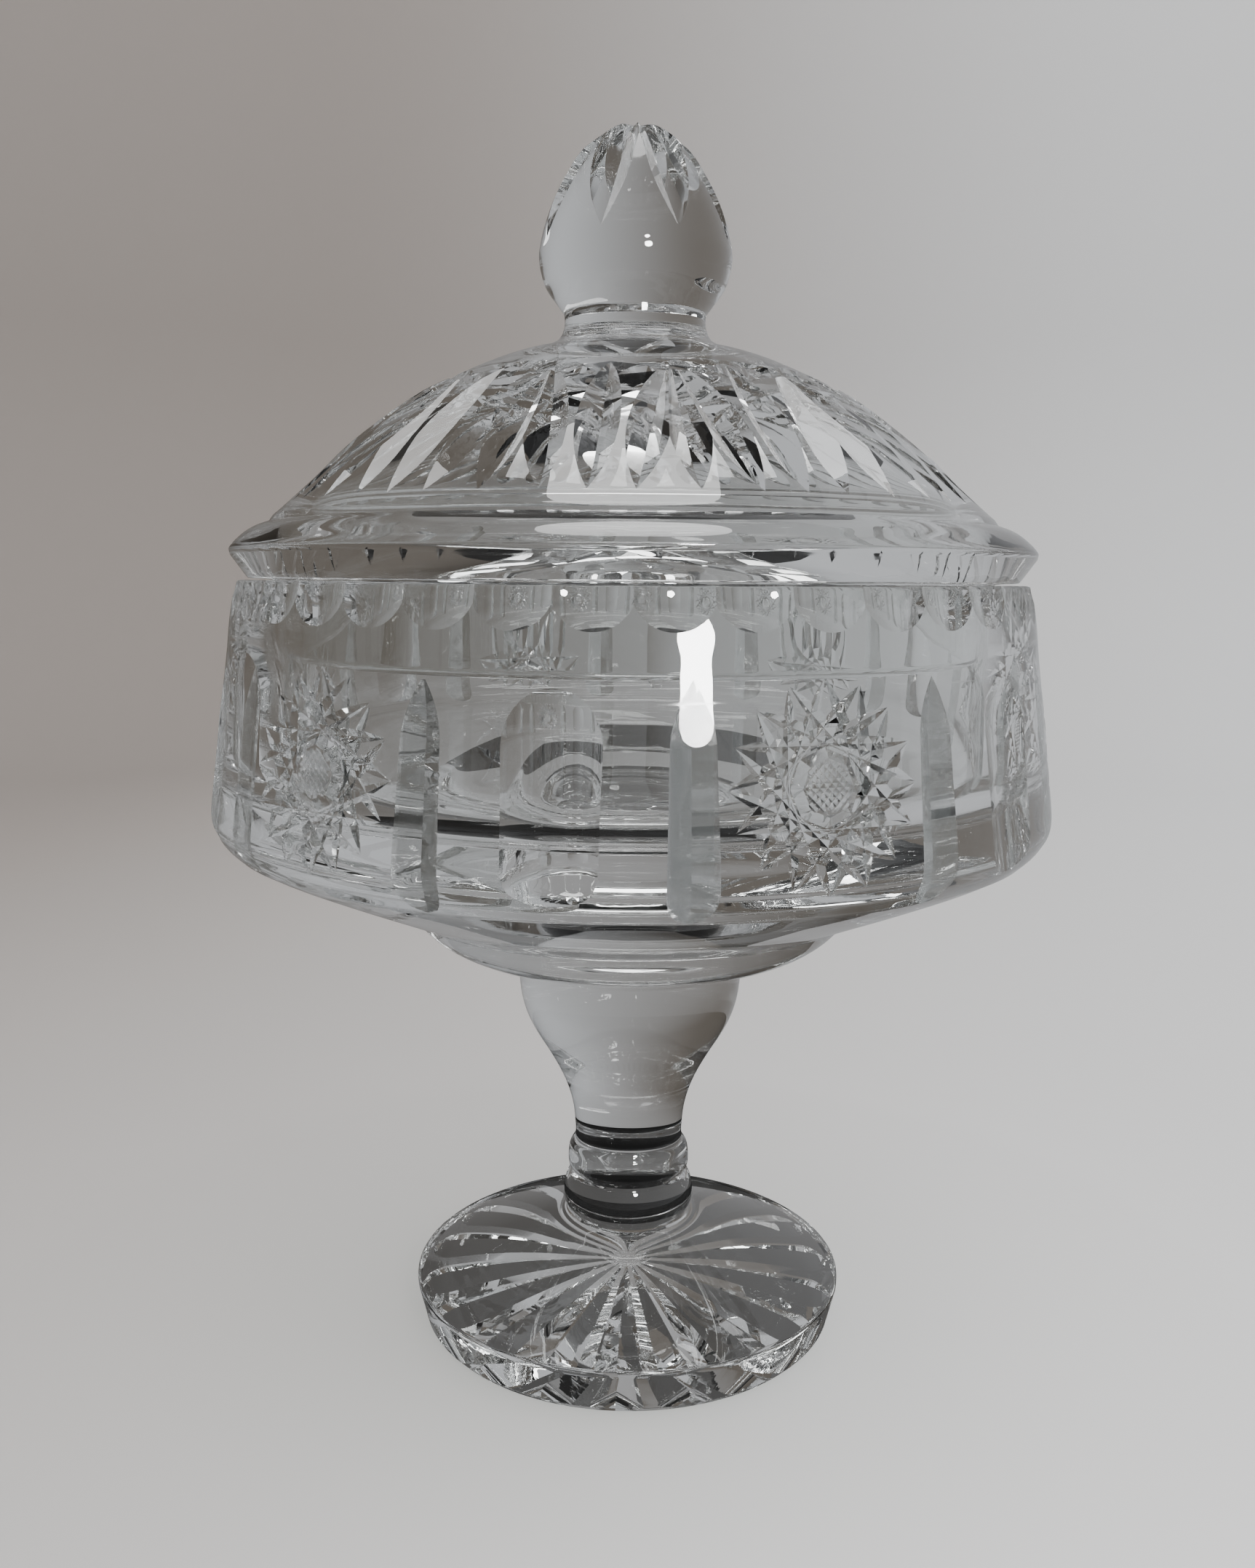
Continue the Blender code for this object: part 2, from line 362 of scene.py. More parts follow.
def point_tool(tool: bmesh.types.BMesh, place: Vector, along: Vector, side: str) -> None:
    """Move a tool that was turned about +Z to its place on the piece.

    Args:
        tool: The tool.
        place: Where its origin goes.
        along: The direction that its +Z is given.
        side: The axis of the tool that is kept upright, "X" or "Y".
    """
    turn = along.to_track_quat("Z", side).to_matrix().to_4x4()
    bmesh.ops.transform(tool, verts=tool.verts, matrix=Matrix.Translation(place) @ turn)


def ring_of(tool: bmesh.types.BMesh, count: int, turn: float = 0.0, groups: int = 1,
            finish: Polish = Polish.WHEEL) -> list[ToolSet]:
    """Copies of a tool spaced evenly about +Z.

    Args:
        tool: The tool; it is freed.
        count: Number of copies.
        turn: Angle of the first one, degrees.
        groups: Sets that the copies are dealt out to, so that those of one set don't touch each other.
        finish: The finish that they leave.

    Returns:
        The sets.
    """
    one = bpy.data.meshes.new("tool")
    tool.to_mesh(one)
    tool.free()
    rings = []
    for group in range(groups):
        bm = bmesh.new()
        for i in range(group, count, groups):
            before = len(bm.verts)
            bm.from_mesh(one)
            bm.verts.ensure_lookup_table()
            spin = Matrix.Rotation(math.radians(turn) + 2 * math.pi * i / count, 4, "Z")
            bmesh.ops.transform(bm, matrix=spin, verts=bm.verts[before:])
        ring = bpy.data.meshes.new("tools")
        bm.to_mesh(ring)
        bm.free()
        rings.append((ring, finish))
    bpy.data.meshes.remove(one)
    return rings


def scene_object(name: str, mesh: bpy.types.Mesh) -> bpy.types.Object:
    """Link a mesh to the scene as an object at the origin."""
    item = bpy.data.objects.new(name, mesh)
    bpy.context.scene.collection.objects.link(item)
    return item


def dress(mesh: bpy.types.Mesh, finishes: Sequence[bpy.types.Material], finish: Polish) -> None:
    """Give a mesh its materials in slot order, and all its faces one finish."""
    for material in finishes:
        mesh.materials.append(material)
    mesh.polygons.foreach_set("material_index", [finish.slot] * len(mesh.polygons))


def carve(blank: bmesh.types.BMesh, tool_sets: Iterable[ToolSet],
          finishes: Sequence[bpy.types.Material]) -> bpy.types.Mesh:
    """Cut a blank with sets of tools, one after the other.

    Args:
        blank: The turned body, in mm; it is freed.
        tool_sets: The sets of tools.
        finishes: The materials in slot order.

    Returns:
        The cut mesh, in mm, with each face in the slot of the surface that made it.
    """
    mesh = bpy.data.meshes.new("blank")
    blank.to_mesh(mesh)
    blank.free()
    dress(mesh, finishes, Polish.FIRE)
    body = scene_object("blank", mesh)
    tools = []
    for tool_mesh, finish in tool_sets:
        dress(tool_mesh, finishes, finish)
        tools.append(scene_object("tool", tool_mesh))
        cut = body.modifiers.new("cut", "BOOLEAN")
        cut.operation = "DIFFERENCE"
        cut.solver = "MANIFOLD"
        cut.object = tools[-1]
    bpy.context.view_layer.update()
    cut_body = body.evaluated_get(bpy.context.evaluated_depsgraph_get())
    made = bpy.data.meshes.new_from_object(cut_body)
    for spent in [body, *tools]:
        data = spent.data
        bpy.data.objects.remove(spent)
        bpy.data.meshes.remove(data)
    return made


# ---------------------------------------------------------------- polishing

def values_of(items: bpy.types.bpy_prop_collection, name: str, kind: type, width: int = 1) -> np.ndarray:
    """One value of every item of a mesh, such as the place of each vertex.

    Args:
        items: The mesh's vertices, edges, loops or polygons.
        name: Name of the value.
        kind: Type of the numbers.
        width: Numbers in each value.

    Returns:
        An array, with a row for each item if the value has more than one number.
    """
    values = np.empty(len(items) * width, kind)
    items.foreach_get(name, values)
    return values.reshape(-1, width) if width > 1 else values


def units(rows: np.ndarray) -> np.ndarray:
    """Scale each row to length 1."""
    return rows / np.maximum(np.linalg.norm(rows, axis=1, keepdims=True), 1e-9)


def faces_of_corners(mesh: bpy.types.Mesh) -> np.ndarray:
    """Number of the face that each corner of a mesh belongs to."""
    return np.repeat(np.arange(len(mesh.polygons)), values_of(mesh.polygons, "loop_total", np.int32))


def crisp_edges(mesh: bpy.types.Mesh) -> None:
    """Mark the edges of the cuts, and those where two finishes meet, as sharp.

    Args:
        mesh: The cut body.
    """
    mesh.shade_smooth()
    mesh.set_sharp_from_angle(angle=SHARP_ANGLE)
    by_angle = np.array([edge.use_edge_sharp for edge in mesh.edges])
    slots = values_of(mesh.polygons, "material_index", np.int32)[faces_of_corners(mesh)]
    edge_of = values_of(mesh.loops, "edge_index", np.int32)
    lowest, highest = np.full(len(mesh.edges), len(Polish)), np.full(len(mesh.edges), -1)
    np.minimum.at(lowest, edge_of, slots)
    np.maximum.at(highest, edge_of, slots)
    mesh.edges.foreach_set("use_edge_sharp", by_angle | (lowest != highest))


def span_normals(outline: np.ndarray) -> tuple[np.ndarray, np.ndarray]:
    """Normals of a turned outline, smooth along its curves and broken at its creases.

    Args:
        outline: The points in order.

    Returns:
        For each span its normal at the start and at the end, in the outline plane.
    """
    run = units(np.diff(outline, axis=0))
    side = np.stack([run[:, 1], -run[:, 0]], axis=1)
    starts, ends = side.copy(), side.copy()
    for i in range(1, len(side)):
        if side[i] @ side[i - 1] > SMOOTH_COSINE:
            starts[i] = ends[i - 1] = units((side[i] + side[i - 1])[None])[0]
    return starts, ends


def nearest_spans(places: np.ndarray, outline: np.ndarray, at_once: int = 20000) -> np.ndarray:
    """The span of an outline that each of some places lies nearest to.

    Args:
        places: Radius and height of each place.
        outline: The outline's points in order.
        at_once: Number of places compared at a time.

    Returns:
        Number of the span for each place.
    """
    start, run = outline[:-1], np.diff(outline, axis=0)
    length = np.maximum((run ** 2).sum(1), 1e-12)
    nearest = np.empty(len(places), int)
    for i in range(0, len(places), at_once):
        some = places[i:i + at_once, None]
        t = np.clip(((some - start) * run).sum(2) / length, 0, 1)
        nearest[i:i + at_once] = ((start + run * t[..., None] - some) ** 2).sum(2).argmin(1)
    return nearest


def turned_normals(places: np.ndarray, spans: np.ndarray, outline: np.ndarray) -> np.ndarray:
    """Normals of a turned surface.

    Args:
        places: Points of the surface.
        spans: The span of the outline that each lies on.
        outline: The outline's points in order.

    Returns:
        A unit normal for each point.
    """
    radii = np.hypot(places[:, 0], places[:, 1])
    section = np.stack([radii, places[:, 2]], axis=1)
    start, run = outline[:-1][spans], np.diff(outline, axis=0)[spans]
    length = np.maximum((run ** 2).sum(1), 1e-12)
    t = np.clip(((section - start) * run).sum(1) / length, 0, 1)[:, None]
    first, last = span_normals(outline)
    way = first[spans] * (1 - t) + last[spans] * t
    ray = places[:, :2] / np.maximum(radii, 1e-6)[:, None]
    return units(np.concatenate([ray * way[:, :1], way[:, 1:]], axis=1))


def polish(mesh: bpy.types.Mesh, outline: Sequence[Point]) -> None:
    """Give a cut body the true normals of its turned surface, and crisp edges at its cuts.

    Args:
        mesh: The cut body, in mm; its first slot is the turned surface.
        outline: The outline that it was turned from.
    """
    crisp_edges(mesh)
    owner = faces_of_corners(mesh)
    corners = values_of(mesh.vertices, "co", np.float32, 3)[values_of(mesh.loops, "vertex_index", np.int32)]
    section = (np.hypot(corners[:, 0], corners[:, 1]), corners[:, 2])
    middles = np.stack([np.bincount(owner, column) / np.bincount(owner) for column in section], axis=1)
    points = np.array(outline, float)
    true = turned_normals(corners, nearest_spans(middles, points)[owner], points)
    match = (true * values_of(mesh.polygons, "normal", np.float32, 3)[owner]).sum(1)
    is_fire = values_of(mesh.polygons, "material_index", np.int32)[owner] == Polish.FIRE.slot
    on_blank = is_fire & (np.abs(match) > ON_BLANK_COSINE)
    normals = values_of(mesh.corner_normals, "vector", np.float32, 3)
    normals[on_blank] = (true * np.sign(match)[:, None])[on_blank]
    mesh.normals_split_custom_set(normals.tolist())


# ---------------------------------------------------------------- finishes

def new_group(name: str, inputs: dict[str, float | None], outputs: Sequence[str]) -> bpy.types.NodeTree:
    """Make an empty shader node group.

    Args:
        name: Name of the group.
        inputs: Default value by name, or None for a vector.
        outputs: Names of the outputs, all numbers.

    Returns:
        The node tree, with nodes "in" and "out".
    """
    tree = bpy.data.node_groups.new(name, "ShaderNodeTree")
    for label, value in inputs.items():
        kind = "NodeSocketVector" if value is None else "NodeSocketFloat"
        socket = tree.interface.new_socket(label, in_out="INPUT", socket_type=kind)
        if value is not None:
            socket.default_value = value
    for label in outputs:
        tree.interface.new_socket(label, in_out="OUTPUT", socket_type="NodeSocketFloat")
    tree.nodes.new("NodeGroupInput").name = "in"
    tree.nodes.new("NodeGroupOutput").name = "out"
    return tree


def add_node(tree: bpy.types.NodeTree, kind: str, inputs: dict[str | int, Any] | None = None,
             **settings: Any) -> bpy.types.Node:
    """Add a node to a tree.

    Args:
        tree: The node tree.
        kind: Type of the node.
        inputs: What its sockets get, by name or number: the output of another node, or a plain value.
        **settings: The node's own properties.

    Returns:
        The node.
    """
    node = tree.nodes.new(kind)
    for key, value in settings.items():
        setattr(node, key, value)
    for socket, value in (inputs or {}).items():
        if isinstance(value, bpy.types.NodeSocket):
            tree.links.new(value, node.inputs[socket])
        else:
            node.inputs[socket].default_value = value
    return node


def handling_marks() -> bpy.types.NodeTree:
    """Group of the marks that hands and cloths leave: soft smears, and hairline scratches.

    Returns:
        The group, with inputs Vector, Smear and Scratch, and outputs Roughness and Height.
    """
    tree = new_group("handling_marks", {"Vector": None, "Smear": 0.04, "Scratch": 0.2},
                     ("Roughness", "Height"))
    given, out = tree.nodes["in"].outputs, tree.nodes["out"].inputs
    smear = add_node(tree, "ShaderNodeTexNoise", {
        "Vector": given["Vector"], "Scale": 34.0, "Detail": 4.0, "Roughness": 0.6, "Distortion": 1.4})
    patches = add_node(tree, "ShaderNodeMapRange", {
        "Value": smear.outputs["Fac"], "From Min": 0.52, "From Max": 0.74})
    worn = add_node(tree, "ShaderNodeMath", {
        0: patches.outputs["Result"], 1: given["Smear"]}, operation="MULTIPLY")
    stretch = add_node(tree, "ShaderNodeMapping", {
        "Vector": given["Vector"], "Scale": (30.0, 30.0, 900.0), "Rotation": (0.5, 0.9, 0.3)})
    hair = add_node(tree, "ShaderNodeTexNoise", {
        "Vector": stretch.outputs["Vector"], "Scale": 1.0, "Detail": 1.0})
    lines = add_node(tree, "ShaderNodeMapRange", {
        "Value": hair.outputs["Fac"], "From Min": 0.70, "From Max": 0.76})
    scored = add_node(tree, "ShaderNodeMath", {
        0: lines.outputs["Result"], 1: given["Scratch"]}, operation="MULTIPLY")
    total = add_node(tree, "ShaderNodeMath", {0: worn.outputs[0], 1: scored.outputs[0]}, operation="ADD")
    tree.links.new(total.outputs[0], out["Roughness"])
    tree.links.new(smear.outputs["Fac"], out["Height"])
    return tree


def wheel_ripple() -> bpy.types.NodeTree:
    """Group of the faint ripple that a stone wheel leaves across a cut, and of hand-made glass.

    Returns:
        The group, with inputs Vector and Pitch, and output Height.
    """
    tree = new_group("wheel_ripple", {"Vector": None, "Pitch": 260.0}, ("Height",))
    given = tree.nodes["in"].outputs
    ripple = add_node(tree, "ShaderNodeTexNoise", {
        "Vector": given["Vector"], "Scale": given["Pitch"], "Detail": 2.0, "Roughness": 0.4,
        "Distortion": 0.6})
    tree.links.new(ripple.outputs["Fac"], tree.nodes["out"].inputs["Height"])
    return tree


def shared_group(build: Callable[[], bpy.types.NodeTree]) -> bpy.types.NodeTree:
    """The node group that a function builds, built once."""
    return bpy.data.node_groups.get(build.__name__) or build()


def new_material(name: str) -> tuple[bpy.types.Material, bpy.types.NodeTree]:
    """A new material and its node tree."""
    made = bpy.data.materials.new(name)
    made.use_nodes = True
    return made, made.node_tree


@dataclass(frozen=True)
class LeadCrystal:
    """Clear lead crystal with one polish."""

    polish: Polish
    tint: Colour = (0.985, 0.995, 0.990)
    shadow: Colour = (0.93, 0.94, 0.935)
    refraction: float = 1.545
    roughness: float = 0.0
    smear: float = 0.03
    scratch: float = 0.10
    ripple_pitch: float = 90.0
    ripple: float = 0.012

    def material(self) -> bpy.types.Material:
        """Build the finish as a material.

        Returns:
            A Principled glass whose smears, scratches and ripple come from the shared groups.
        """
        made, tree = new_material("crystal_" + self.polish.value)
        shader = tree.nodes["Principled BSDF"]
        shader.inputs["Base Color"].default_value = (*self.tint, 1.0)
        shader.inputs["Metallic"].default_value = 0.0
        shader.inputs["IOR"].default_value = self.refraction
        shader.inputs["Transmission Weight"].default_value = 1.0
        where = add_node(tree, "ShaderNodeTexCoord").outputs["Object"]
        marks = add_node(tree, "ShaderNodeGroup", node_tree=shared_group(handling_marks), inputs={
            "Vector": where, "Smear": self.smear, "Scratch": self.scratch})
        rough = add_node(tree, "ShaderNodeMath", {
            0: marks.outputs["Roughness"], 1: self.roughness}, operation="ADD")
        tree.links.new(rough.outputs[0], shader.inputs["Roughness"])
        ripple = add_node(tree, "ShaderNodeGroup", node_tree=shared_group(wheel_ripple), inputs={
            "Vector": where, "Pitch": self.ripple_pitch})
        bump = add_node(tree, "ShaderNodeBump", {
            "Height": ripple.outputs["Height"], "Strength": self.ripple, "Distance": 0.001})
        tree.links.new(bump.outputs["Normal"], shader.inputs["Normal"])
        rays = add_node(tree, "ShaderNodeLightPath")
        clear = add_node(tree, "ShaderNodeBsdfTransparent", {"Color": (*self.shadow, 1.0)})
        either = add_node(tree, "ShaderNodeMixShader", {
            "Fac": rays.outputs["Is Shadow Ray"], 1: shader.outputs["BSDF"], 2: clear.outputs["BSDF"]})
        tree.links.new(either.outputs["Shader"], tree.nodes["Material Output"].inputs["Surface"])
        return made


@dataclass(frozen=True)
class HotSeam:
    """A hot-joined seam: the glass runs through it, so it shows nothing."""

    polish: Polish = Polish.SEAM

    def material(self) -> bpy.types.Material:
        """Build the finish as a material with no alpha.

        Returns:
            The material.
        """
        made, tree = new_material("crystal_" + self.polish.value)
        tree.nodes["Principled BSDF"].inputs["Alpha"].default_value = 0.0
        return made


def crystal_finishes() -> list[bpy.types.Material]:
    """Make the finishes that every piece of the jar shares.

    Returns:
        The materials in slot order.
    """
    finishes = [
        LeadCrystal(Polish.FIRE),
        LeadCrystal(Polish.WHEEL, smear=0.02, scratch=0.0, ripple_pitch=420.0, ripple=0.006),
        LeadCrystal(Polish.GROUND, roughness=0.16, smear=0.05, scratch=0.0, ripple_pitch=900.0, ripple=0.05),
        HotSeam(),
    ]
    return [finish.material() for finish in sorted(finishes, key=lambda one: one.polish.slot)]


# ---------------------------------------------------------------- pieces of glass

@dataclass
class GlassPiece:
    """One piece of glass: its outline, its cuts, and its place in the frame."""

    node: str
    """Name of the CAD node that it replaces."""
    body: str
    """The body that it rides on."""
    steps: int = 360
    """Facets round the blank."""
    seam_below: bool = False
    seam_above: bool = False
    seam_radius: float = 11.9
    low: float = field(init=False)
    top: float = field(init=False)
    radius: float = field(init=False)

    def __post_init__(self) -> None:
        """Read the piece's heights and radius from the frame; at a hot seam it fills half of the gap."""
        low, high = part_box(self.node)
        self.radius = max(high.x, -low.x) / MM
        self.low = round(low.z / MM - (HALF_SEAM if self.seam_below else 0.0), 2)
        self.top = round(high.z / MM + HALF_SEAM, 2) if self.seam_above else high.z / MM

    def outline(self) -> list[Point]:
        """Outline of the uncut blank, both ends on the axis."""
        raise NotImplementedError

    def tool_sets(self) -> list[ToolSet]:
        """Sets of cutting tools; none on a plain turned piece."""
        return []

    def build(self, finishes: Sequence[bpy.types.Material]) -> bpy.types.Object:
        """Turn, cut, polish and place the piece.

        Args:
            finishes: The shared materials in slot order.

        Returns:
            The finished object, riding on its body.
        """
        outline = self.outline()
        mesh = carve(turned(outline, self.steps), self.tool_sets(), finishes)
        self.mark_seams(mesh)
        polish(mesh, outline)
        mesh.transform(Matrix.Scale(MM, 4))
        mesh.name = f"crystal_{self.node}"
        piece = scene_object(f"crystal_{self.node}", mesh)
        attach(piece, self.body)
        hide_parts(self.node)
        LOG.info("%s: %d faces", piece.name, len(mesh.polygons))
        return piece

    def mark_seams(self, mesh: bpy.types.Mesh) -> None:
        """Give the flat discs where the piece was joined hot their own finish.

        Args:
            mesh: The cut body, in mm.
        """
        ends = ((self.low, self.seam_below), (self.top, self.seam_above))
        heights = [height for height, is_seam in ends if is_seam]
        for face in mesh.polygons:
            if (abs(face.normal.z) > 0.99 and face.center.xy.length < self.seam_radius
                    and any(abs(face.center.z - height) < 0.02 for height in heights)):
                face.material_index = Polish.SEAM.slot


@dataclass
class Foot(GlassPiece):
    """Thick round foot with a daisy of hollow petals cut into its underside."""

    node: str = "foot"
    body: str = "base"
    seam_above: bool = True
    seam_radius: float = 11.4
    petals: int = 18
    turn: float = 5.7
    petal_start: float = 1.2
    petal_end: float = 35.2
    petal_shoulder: float = 0.86
    """Share of a petal's length at which its round end begins."""
    petal: Groove = Groove(2.6, 58, stops=26, proud=0.3, run_out=0.02)

    def outline(self) -> list[Point]:
        """Seam, hollow neck, sloping top, rounded edge, side drawn in a little, flat underside.

        Returns:
            The outline of the blank.
        """
        edge = self.radius
        slope_end, side_top, side_foot, land = (30.0, 10.7), (edge, 6.9), (edge - 1.5, 0.9), (edge - 2.4, 0.0)
        return [
            (0, self.top), (10.9, self.top),
            *through([(11.1, 18.1), (11.9, 17.5), (13.2, 16.9), (15.4, 16.2)], 3), slope_end,
            *rounded(slope_end, (edge, 7.9), side_top, 1.1), side_top,
            *rounded(side_top, side_foot, land, 0.6, 3), land, (0, 0),
        ]

    def tool_sets(self) -> list[ToolSet]:
        """One ring of petals, from the middle out to a rounded end short of the edge.

        Returns:
            The sets of tools.
        """
        def spot_at(share: float) -> Spot:
            """A point of the underside, its normal down."""
            radius = self.petal_start + (self.petal_end - self.petal_start) * share
            return Vector((0, -radius, 0)), Vector((0, 0, -1))

        def depth_at(share: float) -> float:
            """Even deepening from the middle, with a round end."""
            even = min(share / self.petal_shoulder, 1.0)
            return self.petal.depth * even * round_end(share, self.petal_shoulder) - self.petal.run_out

        return ring_of(self.petal.tool(spot_at, depth_at), self.petals, self.turn, groups=2)


@dataclass
class Stem(GlassPiece):
    """Solid stem: double knop ring, waist, and a bell that widens up to the bowl."""

    node: str = "stem"
    body: str = "base"
    steps: int = 256
    seam_below: bool = True
    seam_above: bool = True
    seam_radius: float = 21.4

    def outline(self) -> list[Point]:
        """From the bowl's seam down the bell and the rings to the foot's seam.

        Returns:
            The outline of the blank.
        """
        groove, waist = (10.25, 25.7), (9.55, 31.9)
        lower_ring = through([(10.9, self.low), (11.35, 19.5), (11.6, 21.2), (11.4, 23.2), (10.75, 24.9),
                              groove], 4)
        upper_ring = through([groove, (10.7, 26.8), (10.75, 28.6), (10.5, 30.1), (9.85, 31.2), waist], 4)
        bell = through([waist, (9.5, 33.4), (9.9, 37.4), (10.9, 41.2), (12.4, 44.7), (14.4, 48.3),
                        (16.5, 51.7), (18.1, 54.9), (19.1, 58.3), (self.radius, 61.8), (19.6, 64.2)], 4)
        rising = [(0, self.low), *lower_ring, *upper_ring[1:], *bell[1:], (20.1, 65.1), (21.2, self.top),
                  (0, self.top)]
        return rising[::-1]


@dataclass
class Bowl(GlassPiece):
    """Bowl on a thick pad: scalloped rim, and a band of arches, mitres and sixteen-point stars."""

    node: str = "bowl"
    body: str = "base"
    steps: int = 400
    seam_below: bool = True
    seam_radius: float = 21.4
    bore: float = 60.0
    floor: float = 93.6
    floor_round: float = 9.0
    fold: int = 6
    """Number of stars and of arches round the bowl."""
    scallops: int = 40
    scallop_turn: float = 4.1
    scallop_height: float = 130.0
    scallop_radius: float = 5.75
    scallop_wheel: float = 15.0
    arch_width: float = 12.7
    arch_top: float = 117.0
    arch_foot: float = 96.0
    arch_wheel: float = 14.0
    mitre: Groove = Groove(3.2, 48, stops=48, run_out=0.04)
    mitre_turn: float = 15.0
    mitre_top: float = 118.2
    mitre_bottom: float = 86.9
    mitre_nose: float = 8.5
    """Length of a mitre's pointed nose, mm."""
    mitre_start: float = 0.80
    """Share of its full depth that a mitre has behind its nose."""
    mitre_slope: float = 24.0
    """Length over which a mitre reaches its full depth, mm."""
    mitre_shoulder: float = 0.86
    """Share of a mitre's length at which its round heel begins."""
    star_turn: float = 30.0
    star_height: float = 104.4
    star_radius: float = 14.15
    star_points: int = 16
    star_skip: int = 6
    """Each cut of a star runs from one point to the point this many further on."""
    star_cut: Groove = Groove(0.85, 50)
    button_radius: float = 3.5
    button_sides: int = 8
    button_cut: Groove = Groove(0.95, 54, stops=12)
    hatch_pitch: float = 0.85
    hatch_cut: Groove = Groove(0.3, 52, 0.12, 0.12, stops=8, proud=0.2)
    shortest_hatch: float = 0.8
    """Half of the shortest line of the cross-hatch that is cut, mm."""

    @cached_property
    def wall(self) -> Face:
        """The leaning wall, from the rim down to the corner."""
        return Face(tuple(through([
            (65.35, self.top), (65.9, 126.8), (66.4, 123.4), (66.9, 118.8), (67.5, 114.2),
            (68.2, 109.6), (68.75, 104.9), (69.3, 100.3), (69.85, 95.9), (self.radius, 93.2), (69.9, 91.3),
            (69.2, 89.9), (68.2, 88.5), (66.6, 87.0)], 4)))

    def outline(self) -> list[Point]:
        """Inside floor, bore, rim, leaning wall, corner, shallow underside, pad, and the seam.

        Returns:
            The outline of the blank.
        """
        inner, rim, below_rim = (self.bore, self.top), self.wall.points[0], self.wall.points[3]
        corner, pad_top = self.wall.points[-1], (38.6, 74.4)
        bend = (self.bore - self.floor_round, self.floor + self.floor_round)
        return [
            (0, self.floor), (20, self.floor), *arc(bend, self.floor_round, -90, 0, 10),
            *rounded((self.bore, self.floor + 12), inner, rim, 1.2), *rounded(inner, rim, below_rim, 1.3),
            *self.wall.points[3:],
            *through([corner, (62.0, 84.6), (54.0, 81.0), (46.5, 77.8), pad_top], 3)[1:],
            *through([pad_top, (37.3, 73.0), (35.7, 71.3), (34.0, 69.9), (31.7, 68.5), (28.6, 67.2),
                      (24.8, 66.2), (self.seam_radius - 0.2, self.low)], 3)[1:],
            (0, self.low),
        ]

    def tool_sets(self) -> list[ToolSet]:
        """Scallops, arches, mitres, stars, and the cross-hatch of the stars' buttons."""
        return [*self.scallop_tools(), *self.arch_tools(), *self.mitre_tools(), *self.star_tools(),
                *self.button_tools(), *self.hatch_tools()]

    def hollow_depth(self, wheel: float, half: float) -> float:
        """Depth at which a round wheel leaves a hollow of a half width in the round wall."""
        return wheel - math.sqrt(wheel ** 2 - half ** 2) + half ** 2 / (2 * self.radius)

    def scallop_tools(self) -> list[ToolSet]:
        """Round dishes ground into the rim with a ball-nosed wheel, in two sets that overlap.

        Returns:
            The sets of tools.
        """
        wheel, edge = self.scallop_wheel, self.scallop_radius + 2.5
        spread = math.degrees(math.asin(edge / wheel))
        ball = turned([(0, -6), (edge, -6), *arc((0, -wheel), wheel, 90 - spread, 90, 14)], 72)
        place, normal = self.wall.at_height(0, self.scallop_height)
        point_tool(ball, place - normal * self.hollow_depth(wheel, self.scallop_radius), -normal, "Y")
        return ring_of(ball, self.scallops, self.scallop_turn, groups=2)

    def arch_tools(self) -> list[ToolSet]:
        """Round-topped hollows, cut by a round-nosed rod of stone that leans with the wall.

        Returns:
            The set of tools.
        """
        wheel, rod_end = self.arch_wheel, -40
        rod = turned([(0, rod_end), (wheel, rod_end), *arc((0, 0), wheel, 0, 90, 24)], 160)
        top, _ = self.wall.at_height(0, self.arch_top)
        foot, _ = self.wall.at_height(0, self.arch_foot)
        lean = (top - foot).normalized()
        out = Vector((0, -lean.z, lean.y))
        away = wheel - self.hollow_depth(wheel, self.arch_width / 2)
        reach = math.sqrt(wheel ** 2 - away ** 2)
        point_tool(rod, top - lean * reach + out * away, lean, "X")
        return ring_of(rod, self.fold)

    def mitre_tools(self) -> list[ToolSet]:
        """Tall V cuts, pointed at the top, which deepen downwards and run out at the corner.

        Returns:
            The set of tools.
        """
        length = self.mitre_top - self.mitre_bottom

        def spot_at(share: float) -> Spot:
            """Down the wall."""
            return self.wall.at_height(0, self.mitre_top - length * share)

        def depth_at(share: float) -> float:
            """Pointed nose, then a slow deepening, and a round heel."""
            down = length * share
            nose = 1 - (1 - min(down / self.mitre_nose, 1.0)) ** 2
            slow = self.mitre_start + (1 - self.mitre_start) * min(down / self.mitre_slope, 1.0)
            return self.mitre.depth * nose * slow * round_end(share, self.mitre_shoulder) - self.mitre.run_out

        return ring_of(self.mitre.tool(spot_at, depth_at), 2 * self.fold, self.mitre_turn)

    def straight_cut(self, groove: Groove, start: Pair, end: Pair,
                     finish: Polish = Polish.WHEEL) -> list[ToolSet]:
        """One straight V cut on every star.

        Args:
            groove: The cut.
            start: Its first end: distance to the side of the star's middle and above it, mm.
            end: Its last end.
            finish: The finish that it leaves.

        Returns:
            The set of tools.
        """
        def spot_at(share: float) -> Spot:
            """Along the cut."""
            across, up = (a + (b - a) * share for a, b in zip(start, end))
            return self.wall.at_height(across / self.radius, self.star_height + up)

        return ring_of(groove.tool(spot_at), self.fold, self.star_turn, finish=finish)

    def star_tools(self) -> list[ToolSet]:
        """V cuts from point to point of each star.

        Returns:
            The sets of tools.
        """
        angles = [2 * math.pi * point / self.star_points for point in range(self.star_points)]
        points = [(self.star_radius * math.sin(a), self.star_radius * math.cos(a)) for a in angles]
        sets = []
        for start, end in zip(points, points[self.star_skip:] + points[:self.star_skip]):
            sets += self.straight_cut(self.star_cut, start, end)
        return sets

